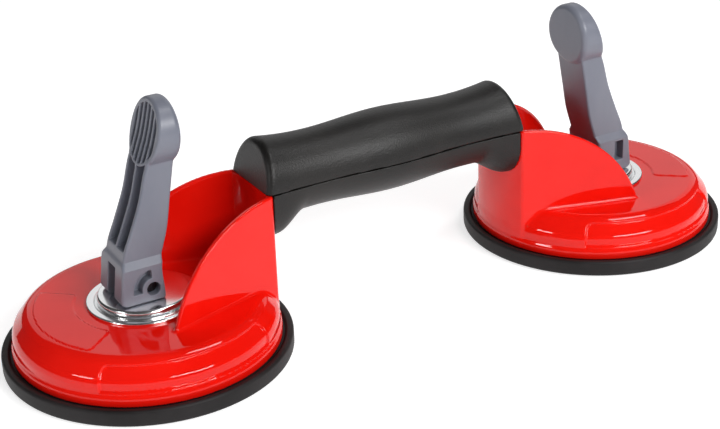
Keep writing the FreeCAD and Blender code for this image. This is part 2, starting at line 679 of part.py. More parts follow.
def cheek_pockets(lever, name):
    """Quarter-ring pocket round the pivot on one cheek, square pocket on the other."""
    middle = (size("foot_width") - size("cheek_depth") + 1) / 2
    quarter = sketch_on(lever, name + "_quarter", "XZ_Plane", lifted(middle))
    low = "sizes.pin_height - 1.4"
    outline(quarter, [
        ("-sqrt(sizes.quarter_outer ^ 2 - 1.4 ^ 2)", low),
        ("0", "sizes.pin_height + sizes.quarter_outer", "sizes.quarter_outer", -1),
        ("0", "sizes.pin_height + sizes.quarter_inner"),
        ("-sqrt(sizes.quarter_inner ^ 2 - 1.4 ^ 2)", low, "sizes.quarter_inner", 1),
    ])
    pocket(lever, name + "_quarter_cut", quarter, "sizes.cheek_depth + 1")
    square = sketch_on(lever, name + "_square", "XZ_Plane", lifted(-middle))
    outline(square, [
        ("-sizes.square_outer", "sizes.pin_height"),
        ("-sizes.square_outer + sizes.square_width", "sizes.pin_height"),
        ("-sizes.square_outer + sizes.square_width", "sizes.pin_height + sizes.square_height"),
        ("-sizes.square_outer", "sizes.pin_height + sizes.square_height"),
    ])
    pocket(lever, name + "_square_cut", square, "sizes.cheek_depth + 1")


def make_lever(name, side):
    lever = body(name, side)
    side_view = sketch_on(lever, name + "_side", "XZ_Plane")
    lever_side(side_view)
    pad(lever, name + "_blank", side_view, "2 * sizes.pad_half + 2", midplane=True)
    front = sketch_on(lever, name + "_front", "YZ_Plane")
    lever_front(front)
    pocket(lever, name + "_front_trim", front, "80")
    fork = sketch_on(lever, name + "_fork", "XZ_Plane")
    outline(fork, [
        (f"-{BESIDE}", BELOW),
        (BESIDE, BELOW),
        (BESIDE, "sizes.fork_height"),
        (f"-{BESIDE}", "sizes.fork_height"),
    ])
    pocket(lever, name + "_fork_slot", fork, "sizes.fork_width")
    bore = sketch_on(lever, name + "_bore", "XZ_Plane")
    ring(bore, "0", "sizes.pin_height", f"sizes.pin_radius + {TINY}")
    pocket(lever, name + "_pin_hole", bore, "60")
    arm_channels(lever, name)
    pad_slots(lever, name)
    cheek_pockets(lever, name)
    return lever


# ---------------------------------------------------------------------------------------- handle
def grip_radius(place):
    """Handle radius at a distance from the middle: full middle, two waists, fuller ends."""
    waist = size("grip_waist")
    away = abs(place)
    if away < size("waist_place"):
        swell = (1 + math.cos(math.pi * away / size("waist_place"))) / 2
        return waist + (size("grip_middle") - waist) * swell
    reach = (away - size("waist_place")) / (size("grip_half") - size("waist_place"))
    return waist + (size("grip_end") - waist) * reach ** 2


def grip_flare(place):
    """Extra depth of the lower half at a distance from the middle."""
    reach = (abs(place) - size("flare_start")) / size("flare_reach")
    reach = min(max(reach, 0), 1)
    return size("flare_depth") * reach ** 2 * (3 - 2 * reach)


def grip_section(place, half_width, rise):
    """Half ellipse closed along the parting plane; a negative rise hangs below it."""
    arch = Part.Arc(FreeCAD.Vector(0, -1, 0), FreeCAD.Vector(0, 0, 1), FreeCAD.Vector(0, 1, 0))
    stretch = FreeCAD.Matrix()
    stretch.scale(1, half_width, rise)
    stretch.move(place, 0, size("wall_top"))
    edge = arch.toShape().transformGeometry(stretch)
    closing = Part.makeLine(edge.Vertexes[-1].Point, edge.Vertexes[0].Point)
    return Part.Wire([edge, closing])


def grip_loft(name, upper, half_length, inset):
    """Upper or lower half of the handle, drawn in by inset, as one smooth closed form."""
    stations = [-1, -0.94, -0.87, -0.79, -0.71, -0.62, -0.47, -0.31, -0.155, 0]
    stations = stations + [-part for part in reversed(stations[:-1])]
    drop = size("grip_axis") - size("wall_top")
    wires = []
    for part in stations:
        place = part * half_length
        radius = grip_radius(place) - inset
        if upper:
            rise = radius + drop
        else:
            rise = -(radius - drop + grip_flare(place))
        wires.append(grip_section(place, radius, rise))
    form = doc.addObject("Part::Feature", name)
    form.Shape = Part.makeLoft(wires, True, False)
    return form


def block(name, centre, lengths, rotation=None):
    """Box given by its centre and edge lengths."""
    made = doc.addObject("Part::Box", name)
    made.Length, made.Width, made.Height = lengths
    turn = rotation or FreeCAD.Rotation()
    corner = FreeCAD.Vector(*lengths) * -0.5
    made.Placement = FreeCAD.Placement(FreeCAD.Vector(*centre) + turn.multVec(corner), turn)
    return made


def post(name, place, radius, low, high):
    """Upright cylinder; place is its X and Y."""
    made = doc.addObject("Part::Cylinder", name)
    made.Radius = radius
    made.Height = high - low
    made.Placement.Base = FreeCAD.Vector(place[0], place[1], low)
    return made


def join(name, shapes):
    made = doc.addObject("Part::MultiFuse", name)
    made.Shapes = shapes
    return made


def cut(name, base, tool):
    made = doc.addObject("Part::Cut", name)
    made.Base = base
    made.Tool = tool
    doc.recompute()
    must_differ(name, base.Shape.Volume, made.Shape.Volume)
    return made


HEAD_SEAT = 51.6      # height of the seats for the handle screws' heads
SCREW_TIP = 72.0      # height of the handle screws' tips
BOSS_RADIUS = 5.2


def make_handle_upper():
    """Upper grip half: hollow, closed at both ends, hooked over the two end walls."""
    name = "handle_upper"
    outer = grip_loft(name + "_outer", True, size("grip_half"), 0)
    inner = grip_loft(name + "_inner", True, size("grip_hollow"), size("grip_wall"))
    hollow = cut(name + "_hollow", outer, inner)
    ends = []
    for side in (-1, 1):
        slope = FreeCAD.Rotation(FreeCAD.Vector(0, 1, 0), -side * size("grip_lean"))
        middle = FreeCAD.Vector(side * size("grip_foot"), 0, size("wall_top")) + slope.multVec(
            FreeCAD.Vector(side * 10, 0, 0))
        ends.append(block(f"{name}_end_{side}", middle, (20, 60, 80), slope))
    trimmed = cut(name + "_trimmed", hollow, join(name + "_ends", ends))
    posts = []
    bores = []
    for index, place in enumerate(SCREW_PLACES):
        posts.append(post(f"{name}_post_{index}", (place, 0), BOSS_RADIUS, size("wall_top"), 78.0))
        bores.append(post(f"{name}_bore_{index}", (place, 0), size("screw_radius") + TINY,
                          size("wall_top") - 1, SCREW_TIP + 1))
    bossed = join(name + "_bossed", [trimmed] + posts)
    handle = cut(name, bossed, join(name + "_bores", bores))
    handle.Label = name
    nodes[name] = handle


def make_handle_lower():
    """Lower grip half: swells down at both ends, cored for the bar and the shells' tongues."""
    name = "handle_lower"
    outer = grip_loft(name + "_outer", False, size("grip_half"), 0)
    tools = []
    half_span = size("cup_span") / 2
    for side in (-1, 1):
        tools.append(post(f"{name}_end_{side}", (side * half_span, 0),
                          size("shell_radius") + 0.05, 0, 80))
    floor = size("wall_top") - size("bar_gauge") - size("tongue_gauge") - 0.2
    tools.append(block(name + "_core", (0, 0, (floor + 70) / 2),
                       (140, size("tongue_width") + 0.6, 70 - floor)))
    for index, place in enumerate(SCREW_PLACES):
        tools.append(post(f"{name}_head_bore_{index}", (place, 0), 4.9, 30, HEAD_SEAT))
    cored = cut(name + "_cored", outer, join(name + "_tools", tools))
    spacers = []
    bores = []
    for index, place in enumerate(SCREW_PLACES):
        if abs(place) < 30:
            spacers.append(post(f"{name}_spacer_{index}", (place, 0), BOSS_RADIUS, floor - 1,
                                size("wall_top") - size("bar_gauge")))
        bores.append(post(f"{name}_bore_{index}", (place, 0), size("screw_radius") + TINY, 40, 70))
    spaced = join(name + "_spaced", [cored] + spacers)
    handle = cut(name, spaced, join(name + "_bores", bores))
    handle.Label = name
    nodes[name] = handle


def make_bar():
    """Flat steel bar that joins the two shells' tongues inside the handle."""
    name = "handle_bar"
    bar = body(name)
    plan = sketch_on(bar, name + "_plan", "XY_Plane", lifted(size("wall_top") - size("bar_gauge")))
    outline(plan, [
        ("-sizes.bar_length / 2", "-sizes.tongue_width / 2"),
        ("sizes.bar_length / 2", "-sizes.tongue_width / 2"),
        ("sizes.bar_length / 2", "sizes.tongue_width / 2"),
        ("-sizes.bar_length / 2", "sizes.tongue_width / 2"),
    ])
    pad(bar, name + "_flat", plan, "sizes.bar_gauge")
    holes = sketch_on(bar, name + "_holes", "XY_Plane")
    for place in SCREW_PLACES:
        ring(holes, str(place), "0", f"sizes.screw_radius + {TINY}")
    for place in (-RIVET_PLACE, RIVET_PLACE):
        for across in RIVET_ROW:
            ring(holes, str(place), str(across), f"{RIVET_RADIUS} + {TINY}")
    pocket(bar, name + "_hole_cut", holes, "160")


def make_screws():
    """Four pan-head screws that close the handle from below."""
    solids = []
    for place in SCREW_PLACES:
        foot = FreeCAD.Vector(place, 0, HEAD_SEAT - 3.2)
        head = Part.makeCylinder(4.5, 3.2, foot)
        head = head.makeFillet(0.8, [edge for edge in head.Edges
                                     if abs(edge.CenterOfMass.z - foot.z) < 0.01
                                     and len(edge.Vertexes) == 1])
        shank = Part.makeCylinder(size("screw_radius"), SCREW_TIP - HEAD_SEAT,
                                  FreeCAD.Vector(place, 0, HEAD_SEAT))
        corners = [foot + FreeCAD.Rotation(FreeCAD.Vector(0, 0, 1), 60 * turn).multVec(
            FreeCAD.Vector(2.3, 0, 0)) for turn in range(7)]
        socket = Part.Face(Part.makePolygon(corners)).extrude(FreeCAD.Vector(0, 0, 2))
        solids.append(head.fuse(shank).removeSplitter().cut(socket))
    screws = doc.addObject("Part::Feature", "handle_screws")
    screws.Label = "handle_screws"
    screws.Shape = Part.makeCompound(solids)
    nodes["handle_screws"] = screws


def make_rivets():
    """Four rivets that hold the bar to the tongues, domed on top and flush below."""
    low = size("wall_top") - size("bar_gauge") - size("tongue_gauge")
    top = size("wall_top")
    solids = []
    for place in (-RIVET_PLACE, RIVET_PLACE):
        for across in RIVET_ROW:
            shank = Part.makeCylinder(RIVET_RADIUS, top - low, FreeCAD.Vector(place, across, low))
            ball = Part.makeSphere(6.0, FreeCAD.Vector(place, across, top - 4.2))
            dome = ball.common(Part.makeCylinder(6, 6, FreeCAD.Vector(place, across, top)))
            solids.append(shank.fuse(dome).removeSplitter())
    rivets = doc.addObject("Part::Feature", "bar_rivets")
    rivets.Label = "bar_rivets"
    rivets.Shape = Part.makeCompound(solids)
    nodes["bar_rivets"] = rivets


SIDES = (("left", -1), ("right", 1))
for hand, side in SIDES:
    make_shell(f"shell_{hand}", side)
    make_disc(f"suction_disc_{hand}", side)
    make_wear_plate(f"wear_plate_{hand}", side)
    make_core_plate(f"core_plate_{hand}", side)
    make_stem(f"draw_stem_{hand}", side)
    make_pin(f"pivot_pin_{hand}", side)
    make_spring(f"return_spring_{hand}", side)
    make_lever(f"lever_{hand}", side)
make_handle_upper()
make_handle_lower()
make_bar()
make_screws()
make_rivets()


def check_all():
    """Stop if any object failed or any sub-part is not a valid solid."""
    for item in doc.Objects:
        if "Invalid" in item.State or "Error" in item.State:
            raise RuntimeError(f"{item.Name} failed: {item.State}")
    for name, item in nodes.items():
        if item.Shape.isNull() or not item.Shape.isValid() or not item.Shape.Solids:
            raise RuntimeError(f"{name} is not a valid solid")


doc.recompute()
check_all()
os.makedirs("parts", exist_ok=True)
for name, item in nodes.items():
    item.Shape.exportStep(f"parts/{name}.step")
    box = item.Shape.BoundBox
    print(f"{name:22s} solids {len(item.Shape.Solids)} volume {item.Shape.Volume:9.0f}"
          f"  x {box.XMin:7.1f} {box.XMax:7.1f}  y {box.YMin:6.1f} {box.YMax:6.1f}"
          f"  z {box.ZMin:6.1f} {box.ZMax:6.1f}")
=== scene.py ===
import math

import bpy
import numpy as np
from mathutils import Matrix, Vector


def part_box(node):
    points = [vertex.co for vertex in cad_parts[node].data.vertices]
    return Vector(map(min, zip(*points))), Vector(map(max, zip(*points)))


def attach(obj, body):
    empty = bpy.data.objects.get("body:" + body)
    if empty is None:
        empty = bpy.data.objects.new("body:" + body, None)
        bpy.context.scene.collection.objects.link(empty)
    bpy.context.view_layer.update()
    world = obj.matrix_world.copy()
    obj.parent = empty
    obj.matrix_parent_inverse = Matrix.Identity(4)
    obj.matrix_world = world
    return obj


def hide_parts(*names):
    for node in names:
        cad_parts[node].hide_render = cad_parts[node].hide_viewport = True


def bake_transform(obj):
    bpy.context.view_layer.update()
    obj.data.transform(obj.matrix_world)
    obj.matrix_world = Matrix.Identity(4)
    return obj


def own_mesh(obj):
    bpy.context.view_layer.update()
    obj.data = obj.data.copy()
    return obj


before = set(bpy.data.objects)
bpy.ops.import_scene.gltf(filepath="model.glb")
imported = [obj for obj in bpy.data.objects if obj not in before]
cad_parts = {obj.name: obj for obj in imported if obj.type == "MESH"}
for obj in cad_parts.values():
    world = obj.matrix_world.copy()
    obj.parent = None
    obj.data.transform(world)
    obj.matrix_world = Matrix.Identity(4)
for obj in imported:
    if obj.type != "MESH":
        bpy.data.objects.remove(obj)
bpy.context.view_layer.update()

# Looks of a two-cup vacuum lifter. Shapes are written in millimetres in each cup's own frame: origin
# on the floor under the cup's axis, +X towards the handle, +Z up. The left cup stands as written and
# the right cup is turned half a turn about Z.

MM = 0.001
SIDES = (("left", -1), ("right", 1))


def extent(node):
    """Lowest and highest corner of a CAD node, in millimetres."""
    low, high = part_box(node)
    return low / MM, high / MM


# -------------------------------------------------------------------------- sizes from the frame
plate_low, plate_high = extent("wear_plate_left")
disc_low, disc_high = extent("suction_disc_left")
shell_low, shell_high = extent("shell_left")

CUP_X = -(disc_low.x + disc_high.x) / 2        # distance of each cup's axis from the middle
DISC_RADIUS = (disc_high.y - disc_low.y) / 2
SEAT = shell_low.z                             # the shell's foot
DECK = shell_low.z + 17.8                      # the shell's flat top
WALL_TOP = shell_high.z                        # end wall's top and the handle's parting plane
PLATE_TOP = plate_high.z
PLATE_RADIUS = (plate_high.y - plate_low.y) / 2
LEVER_TOP = extent("lever_left")[1].z

# ------------------------------------------------------------- the shell, in millimetres and degrees
SHELL_RADIUS = 55.0
SHELL_GAUGE = 2.4
SHELL_BORE = 7                                 # radius of the centre hole
SIDE_INSET = 0.3                               # how far the upright side stands in from the radius
SHOULDER = (54.8, 16.0)                        # a place on the sloped shoulder, radius and height
SHOULDER_FACING = (0.769, 0.639)               # where the shoulder faces, out and up
BEAD = (55.5, 10.8)                            # the bead's radius and top
FLUTE_TURN = (47, 130)                         # angles from outward between which the flute runs
FLUTE_HEIGHT = (11.4, 21.9)
FLUTE_DEPTH = 0.9
PANEL_HALF_ANGLE = 40
PANEL_RADII = (28.5, 45.5)
PANEL_RISE = 0.4
WALL_GAUGE = 2.5
WING_SPREAD = 0.3                              # how far each wing opens per millimetre outward
WING_FOOT = 33.45                              # half distance between the wings at the cup's axis
WING_CREST = 51.0                              # distance from the axis where the top edge falls
WING_ARC = 54.0                                # radius of that falling edge
TONGUE_HALF_WIDTH = 11
TONGUE_HEIGHT = (55, 59)
TONGUE_REACH = (53, 79)

# ---------------------------------------------------------------------------- the rubber and spring
DISC_RIM = 7.2                                 # height of the rubber's rim
BOSS_FOOT, BOSS_TOP = 4.9, 8.0                 # heights of the rubber's raised middle
BOSS_RADII = (34.0, 36.9)                      # its radius at the top and at the foot
STEM_WELL = 5.6                                # radius of the recess for the stem
SPRING_FOOT, SPRING_HEAD = 8.1, 21.3           # heights of the return spring's ends
SPRING_BORE, SPRING_RADIUS = 17.0, 24.0
SPRING_EDGE = 2.2                              # width of the edge where two spring discs meet
SPRING_FOLDS = 6
AXIS = 0.01                                    # radius at which a closed turned form ends

# ----------------------------------------------------- the lever; X is measured inward from its pin
PIVOT_HEIGHT = 33.3
LEVER_BORE = 2.9
LEVER_FOOT = 28.0                              # height of the foot
FOOT_CORNER = (13.5, 28.9)                     # a place on the chamfer, outward and height
FOOT_CORNER_FACING = (0.7, 0.714)              # where the chamfer faces, out and down
HALF_WIDTHS = ((43.8, 46.6, 90), (11.7, 9.4, 9.4))     # heights, and the lever's half width there
ARM_TOP = 92
FORK = (3.7, 42.7)                             # half width and top of the fork's slot
LEVER_OUTER = ((20, -15.7), (28, -14.57), (36, -13.45), (43.4, -12.41), (45.2, -11.9),
               (46.8, -11.0), (49.5, -10.2), (58.5, -6.4), (70, -1.8), (83, 2.0), (90, 4.7),
               (98, 7.2), (104, 8.7), (112, 10.6))     # heights, and the outer face there
LEVER_INNER = ((20, 5), (31, 5), (44.2, 5), (48.8, 6.5), (56, 8.8), (68.5, 11.2), (81, 13.5))
INNER_TOP = (81, 13.5, 0.2)                    # where the inner face turns straight, and its lean
PAD_INNER = ((60, 8), (72, 12), (80, 14.4), (86, 15.9), (94, 16.8), (102, 17.0), (108, 16.8),
             (114, 16))
PAD_CENTRE = 95.4
PAD_RADIUS = 13.8
PAD_RIM = 12.8                                 # radius outside which the channels stop
SLOT_REACH = 11.6                              # radius within which the pad's slots lie
SLOT_PITCH = 3.7
SLOT_DEPTH = 7.0
RIB_HALF = 0.65                                # half thickness of every rib
CHANNEL_HALF = 7.6                             # middle to the far side of each channel
CHANNEL_DEPTH = 10.5
CHANNEL_HEIGHT = (50.4, 93)
CHEEK = 7.2                                    # middle to the floor of the cheek pockets
QUARTER_RADII = (4.9, 8.6)
QUARTER_SIDES = (-0.4, 32.4)                   # the quarter pocket's inner side and its foot
SQUARE_REACH = (-9.2, -4.6)
SQUARE_HEIGHT = (33.3, 42.7)

# ------------------------------------------------------------------------------------- the handle
GRIP_WAIST = 16.2                              # radius at the waists
GRIP_SWELL = 1.7                               # how much fuller the middle and the ends are
WAIST_PLACE = 35                               # distance of each waist from the middle
WAIST_TO_END = 29.5
GRIP_RISE = 0.9                                # how far the centre line lies over the parting plane
END_RISE = 1.6                                 # how far the upper half lifts towards the ends
END_PLACE = 63.3                               # end face at the parting plane
END_LEAN = math.radians(11.5)
LOWER_END = 62.5
FLARE_START, FLARE_LENGTH, FLARE_DEPTH = 43, 14, 5.6
FLARE_SQUARENESS = 1.2
PARTING = 0.12                                 # half of the gap along the parting plane
SCREW_PLACES = (-41, -14, 14, 41)
SCREW_WELL = (4.9, 51.6)                       # radius and floor of the screw wells


# -------------------------------------------------------------------------- shaping with fields
# A field gives, for points X, Y, Z, about how far each lies outside a form; it is negative inside.
def union(a, b, radius):
    """Both forms, with the corner between them filled to a radius."""
    reach = np.hypot(np.maximum(radius - a, 0), np.maximum(radius - b, 0))
    return np.maximum(radius, np.minimum(a, b)) - reach


def common(a, b, radius):
    """What two forms share, with the edge between them rounded to a radius."""
    return -union(-a, -b, radius)


def band(values, low, high):
    return np.maximum(low - values, values - high)


def curve(values, points):
    """Smooth height over values through points given as (place, height)."""
    places = np.array([p[0] for p in points], float)
    heights = np.array([p[1] for p in points], float)
    slopes = np.gradient(heights, places)
    index = np.clip(np.searchsorted(places, values) - 1, 0, len(places) - 2)
    width = places[index + 1] - places[index]
    share = np.clip((values - places[index]) / width, 0, 1)
    rest = 1 - share
    return (heights[index] * (1 + 2 * share) * rest ** 2
            + heights[index + 1] * (3 - 2 * share) * share ** 2
            + width * share * rest * (slopes[index] * rest - slopes[index + 1] * share))


def net(field, low, high, step):
    """Corners and four-sided faces of the field's zero surface, one corner to each grid cell."""
    axes = [np.arange(a - 1.6 * step, b + 2.6 * step, step) for a, b in zip(low, high)]
    value = field(*np.meshgrid(*axes, indexing="ij"))
    start = np.array([axis[0] for axis in axes])
    cells, spots, faces = [], [], []
    for axis in range(3):
        across, along = (axis + 1) % 3, (axis + 2) % 3
        count = value.shape[axis]
        near = np.take(value, range(count - 1), axis)
        far = np.take(value, range(1, count), axis)
        edges = np.argwhere((near < 0) != (far < 0))
        a, b = near[tuple(edges.T)], far[tuple(edges.T)]
        spot = edges.astype(float)
        spot[:, axis] += a / (a - b)
        ring = []
        for shift in ((0, 0), (-1, 0), (-1, -1), (0, -1)):
            cell = edges.copy()
            cell[:, across] += shift[0]
            cell[:, along] += shift[1]
            ring.append(np.ravel_multi_index(cell.T, value.shape))
            spots.append(spot)
        cells.extend(ring)
        face = np.stack(ring, 1)
        face[a >= 0] = face[a >= 0][:, ::-1]
        faces.append(face)
    ids, place = np.unique(np.concatenate(cells), return_inverse=True)
    spots = np.concatenate(spots)
    weight = np.bincount(place)
    corners = np.stack([np.bincount(place, spots[:, k]) / weight for k in range(3)], 1)
    return start + corners * step, np.searchsorted(ids, np.concatenate(faces))


def slope(field, points):
    """Gradient of the field at points, by small differences."""
    gap = 0.02
    made = []
    for axis in range(3):
        ahead, behind = points.copy(), points.copy()
        ahead[:, axis] += gap
        behind[:, axis] -= gap
        made.append((field(*ahead.T) - field(*behind.T)) / (2 * gap))
    return np.stack(made, 1)


def settle(field, corners, faces, step):
    """Spreads the corners evenly and lays them exactly on the surface."""
    spreading = 4
    for turn in range(spreading + 1):
        if turn < spreading:
            centres = corners[faces].mean(1)
            total = np.zeros_like(corners)
            for column in range(4):
                for axis in range(3):
                    total[:, axis] += np.bincount(faces[:, column], centres[:, axis], len(corners))
            count = np.bincount(faces.ravel(), minlength=len(corners))
            corners = corners * 0.4 + 0.6 * total / count[:, None]
        for _ in range(2):
            lean = slope(field, corners)
            away = field(*corners.T) / np.maximum((lean ** 2).sum(1), 0.05)
            corners = corners - lean * np.clip(away, -step, step)[:, None]
    return corners


def piece(name, corners, faces, normals=None):
    """Smooth mesh object from points in millimetres in the row frame."""
    mesh = bpy.data.meshes.new(name)
    mesh.from_pydata((np.asarray(corners) * MM).tolist(), [], np.asarray(faces).tolist())
    mesh.polygons.foreach_set("use_smooth", np.ones(len(mesh.polygons), bool))
    if normals is not None:
        mesh.normals_split_custom_set_from_vertices(normals)
    made = bpy.data.objects.new(name, mesh)
    bpy.context.scene.collection.objects.link(made)
    return made


def to_row(points, side):
    """Points of a cup's frame in the row frame, for the cup at side -1 or 1."""
    flip = np.array([-side, -side, 1])
    return points * flip + np.array([side * CUP_X, 0, 0])


def form_mesh(field, low, high, step):
    """Corners, faces and exact normals of the field's surface."""
    corners, faces = net(field, low, high, step)
    corners = settle(field, corners, faces, step)
    lean = slope(field, corners)
    return corners, faces, lean / np.linalg.norm(lean, axis=1)[:, None]


def at_cup(name, mesh, side):
    """Piece from a mesh in a cup's frame, placed at the cup at side -1 or 1."""
    corners, faces, normals = mesh
    return piece(name, to_row(corners, side), faces, normals * np.array([-side, -side, 1]))


def lathe(name, outline, side, segments=192):
    """Closed form turned about a cup's axis; outline is (radius, height) from the axis round to it."""
    rows = []
    for radius, height in outline:
        angles = np.arange(segments) * 2 * math.pi / segments
        rows.append(np.stack([radius * np.cos(angles), radius * np.sin(angles),
                              np.full(segments, height)], 1))
    corners = np.concatenate(rows)
    faces = []
    for row in range(len(outline)):
        following = (row + 1) % len(outline)
        for turn in range(segments):
            ahead = (turn + 1) % segments
            faces.append((row * segments + turn, row * segments + ahead,
                          following * segments + ahead, following * segments + turn))
    made = piece(name, to_row(corners, side), faces)
    made.data.set_sharp_from_angle(angle=math.radians(40))
    return made


def ease(values):
    """Soft step from 0 at 0 to 1 at 1."""
    share = np.clip(values, 0, 1)
    return share ** 2 * (3 - 2 * share)


def rounded(points, steps=6):
    """Outline of (x, y, radius) corners with each corner turned into an arc of that radius."""
    made = []
    count = len(points)
    for index in range(count):
        here = Vector(points[index][:2])
        radius = points[index][2]
        if radius == 0:
            made.append(tuple(here))
            continue
        back = (Vector(points[index - 1][:2]) - here).normalized()
        ahead = (Vector(points[(index + 1) % count][:2]) - here).normalized()
        half = back.angle(ahead) / 2
        centre = here + (back + ahead).normalized() * radius / math.sin(half)
        first = (here + back * radius / math.tan(half) - centre).normalized()
        last = (here + ahead * radius / math.tan(half) - centre).normalized()
        for step in range(steps + 1):
            made.append(tuple(centre + first.slerp(last, step / steps) * radius))
    return made


# ------------------------------------------------------------------------------------- red shells
# The last number in each union() and common() is the radius of the fillet or edge, in millimetres.
def wing_gap(x, y):
    """Distance outside the plan that the two wings and the end wall enclose."""
    wings = (np.abs(y) - WING_FOOT + WING_SPREAD * x) / math.hypot(1, WING_SPREAD)
    return common(wings, np.hypot(x, y) - SHELL_RADIUS, 0.9)


def panel_plan(x, y):
    """Plan of the plain raised sector on the flat top, on the side away from the handle."""
    half = math.radians(PANEL_HALF_ANGLE)
    edge = np.abs(y) * math.cos(half) + x * math.sin(half)
    radius = np.hypot(x, y)
    return common(common(edge, PANEL_RADII[0] - radius, 3), radius - PANEL_RADII[1], 2)


def dome_form(x, y, z):
    """The pressing's outer form: flat top with its panel, rolls, sloped shoulder, sides with flutes."""
    radius = np.hypot(x, y)
    side = radius - SHELL_RADIUS + SIDE_INSET
    shoulder = ((radius - SHOULDER[0]) * SHOULDER_FACING[0]
                + (z - SHOULDER[1]) * SHOULDER_FACING[1])
    dome = common(common(z - DECK, shoulder, 2.2), side, 1.6)
    turn = np.abs(np.degrees(np.arctan2(y, -x)))
    length = math.radians(1) * SHELL_RADIUS
    flute = common(band(turn, *FLUTE_TURN) * length, z - FLUTE_HEIGHT[1], 3.5)
    flute = common(flute, FLUTE_HEIGHT[0] - z, 0.6)
    dome = dome + FLUTE_DEPTH * ease(-flute / 1.1)
    return dome - PANEL_RISE * ease(-panel_plan(x, y) / 0.9) * ease((z - DECK + 3) / 2)


def shell_form(x, y, z):
    radius = np.hypot(x, y)
    dome = dome_form(x, y, z)
    hollow = dome + SHELL_GAUGE
    bead = common(radius - BEAD[0], z - BEAD[1], 1.8)
    dome = union(dome, bead, 0.8)
    plan = wing_gap(x, y)
    arc_top = np.hypot(x - WING_CREST, z - WALL_TOP + WING_ARC) - WING_ARC
    top = np.where(x < WING_CREST, arc_top, z - WALL_TOP)
    wall = common(np.abs(plan + WALL_GAUGE / 2) - WALL_GAUGE / 2, top, 0.9)
    wall = np.maximum(wall, SEAT - z)
    floor = np.maximum(np.maximum(plan + WALL_GAUGE / 2, union(z - DECK, wall, 1.2)), 10 - x)
    form = np.minimum(union(dome, wall, 1.3), floor)
    tongue = common(band(z, *TONGUE_HEIGHT), band(x, *TONGUE_REACH), 0.3)
    tongue = common(band(y, -TONGUE_HALF_WIDTH, TONGUE_HALF_WIDTH), tongue, 0.3)
    form = union(form, tongue, 0.8)
    form = common(form, -hollow, 0.3)
    form = common(form, SHELL_BORE - radius, 0.4)
    return common(form, SEAT - z, 0.6)


# ----------------------------------------------------------------------------------- grey levers
def lever_form(x, y, z):
    outer = curve(z, LEVER_OUTER)
    front = (outer - x) * 0.92
    turn_height, turn_place, lean = INNER_TOP
    inner = np.where(z < turn_height, curve(z, LEVER_INNER), turn_place + lean * (z - turn_height))
    back = (x - inner) * 0.95
    half_width = np.interp(z, *HALF_WIDTHS)
    arm = common(common(front, back, 1.0), common(np.abs(y) - half_width, z - ARM_TOP, 1.0), 1.0)
    disc = np.hypot(y, z - PAD_CENTRE) - PAD_RADIUS
    pad_back = (x - curve(z, PAD_INNER)) * 0.9
    pad = common(common(disc, front, 1.1), pad_back, 2.2)
    form = union(arm, pad, 0.5)
    form = common(form, LEVER_FOOT - z, 0.8)
    corner = ((-x - FOOT_CORNER[0]) * FOOT_CORNER_FACING[0]
              + (FOOT_CORNER[1] - z) * FOOT_CORNER_FACING[1])
    form = common(form, corner, 0.8)
    fork = common(np.abs(y) - FORK[0], z - FORK[1], 0.5)
    form = common(form, -fork, 0.4)
    around = np.hypot(x, z - PIVOT_HEIGHT)
    form = common(form, LEVER_BORE - around, 0.3)
    return carve_lever(form, x, y, z, x - outer, around)


def carve_lever(form, x, y, z, depth, around):
    """The lever's channels, slots and cheek pockets.

    depth is measured from the outer face, around from the pin.
    """
    oval = np.hypot(y, z - PAD_CENTRE)
    channel = common(band(np.abs(y), RIB_HALF, CHANNEL_HALF), depth - CHANNEL_DEPTH, 0.6)
    channel = common(channel, band(z, *CHANNEL_HEIGHT), 0.6)
    channel = common(channel, PAD_RIM - oval, 0.4)
    form = common(form, -channel, 0.35)
    beside = np.abs(y - SLOT_PITCH * np.round(y / SLOT_PITCH)) - RIB_HALF
    slots = common(-beside, oval - SLOT_REACH, 0.5)
    slots = common(slots, depth - SLOT_DEPTH, 0.4)
    form = common(form, -slots, 0.3)
    corner = common(x - QUARTER_SIDES[0], QUARTER_SIDES[1] - z, 0.4)
    quarter = common(band(around, *QUARTER_RADII), corner, 0.4)
    form = common(form, -common(y + CHEEK, quarter, 0.3), 0.3)
    square = common(band(x, *SQUARE_REACH), band(z, *SQUARE_HEIGHT), 0.4)
    return common(form, -common(CHEEK - y, square, 0.3), 0.3)


# ------------------------------------------------------------------------------------ black handle
def beyond_waist(x):
    """How far X lies past the waist, from 0 there to 1 at the handle's end."""
    return np.maximum(np.abs(x) - WAIST_PLACE, 0) / WAIST_TO_END


def grip_radius(x):
    """Full middle, two waists, fuller ends."""
    swell = (1 + np.cos(np.pi * np.minimum(np.abs(x), WAIST_PLACE) / WAIST_PLACE)) / 2
    return GRIP_WAIST + GRIP_SWELL * swell + GRIP_SWELL * beyond_waist(x) ** 2


def grip_upper_form(x, y, z):
    radius = grip_radius(x)
    height = radius + GRIP_RISE + END_RISE * beyond_waist(x) ** 2
    form = np.hypot(y, (z - WALL_TOP) * radius / height) - radius
    end = (np.abs(x) - END_PLACE) * math.cos(END_LEAN) + (z - WALL_TOP) * math.sin(END_LEAN)
    form = common(form, end, 2.8)
    return common(form, WALL_TOP + PARTING - z, 0.45)


